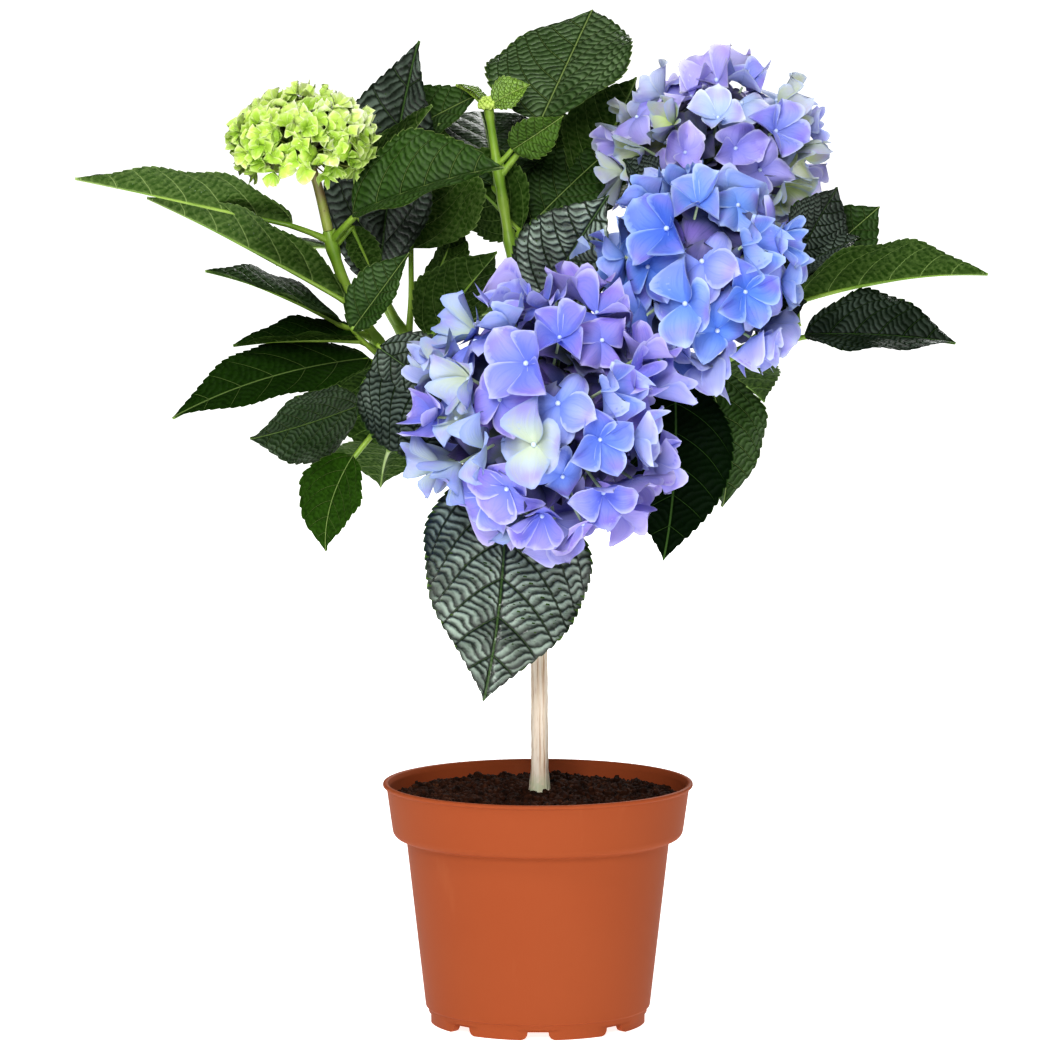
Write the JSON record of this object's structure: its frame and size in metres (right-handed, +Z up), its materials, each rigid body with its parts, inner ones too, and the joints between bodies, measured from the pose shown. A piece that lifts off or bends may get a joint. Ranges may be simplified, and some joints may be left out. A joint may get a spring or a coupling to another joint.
{
  "type": "potted hydrangea standard",
  "caption": "Small standard hydrangea in a round plastic pot: one bare trunk, leafy boughs, mophead blooms and a young green bloom.",
  "frame": {"origin": "centre of the pot's flat underside", "axes": "+Z up along the trunk, and the largest bloom faces -Y"},
  "size_m": [0.5507, 0.3731, 0.6171],
  "materials": {
    "pot": "matte terracotta-coloured plastic",
    "soil": "dark crumbly potting compost",
    "trunk": "pale grooved bark",
    "bough": "smooth young bark",
    "foliage": "satin dark green leaf",
    "bloom_violet": "violet-blue sepals",
    "bloom_blue": "cornflower blue sepals",
    "bloom_lilac": "lilac and cream sepals",
    "bloom_green": "young lime green sepals"
  },
  "bodies": {
    "root": {"pot": "pot", "soil": "soil", "trunk": "trunk", "bough_left_low": "bough", "foliage_left_low": "foliage", "bough_back_right": "bough", "foliage_back_right": "foliage", "bough_front": "bough", "foliage_front": "foliage", "bloom_front": "bloom_violet", "bough_back": "bough", "foliage_back": "foliage", "bough_left": "bough", "foliage_left": "foliage", "bloom_left": "bloom_green", "bough_right": "bough", "foliage_right": "foliage", "bough_right_front": "bough", "foliage_right_front": "foliage", "bloom_right_front": "bloom_blue", "bough_left_back": "bough", "foliage_left_back": "foliage", "bough_right_back": "bough", "foliage_right_back": "foliage", "bloom_right_back": "bloom_lilac", "bough_top": "bough", "foliage_top": "foliage"}
  },
  "joints": []
}
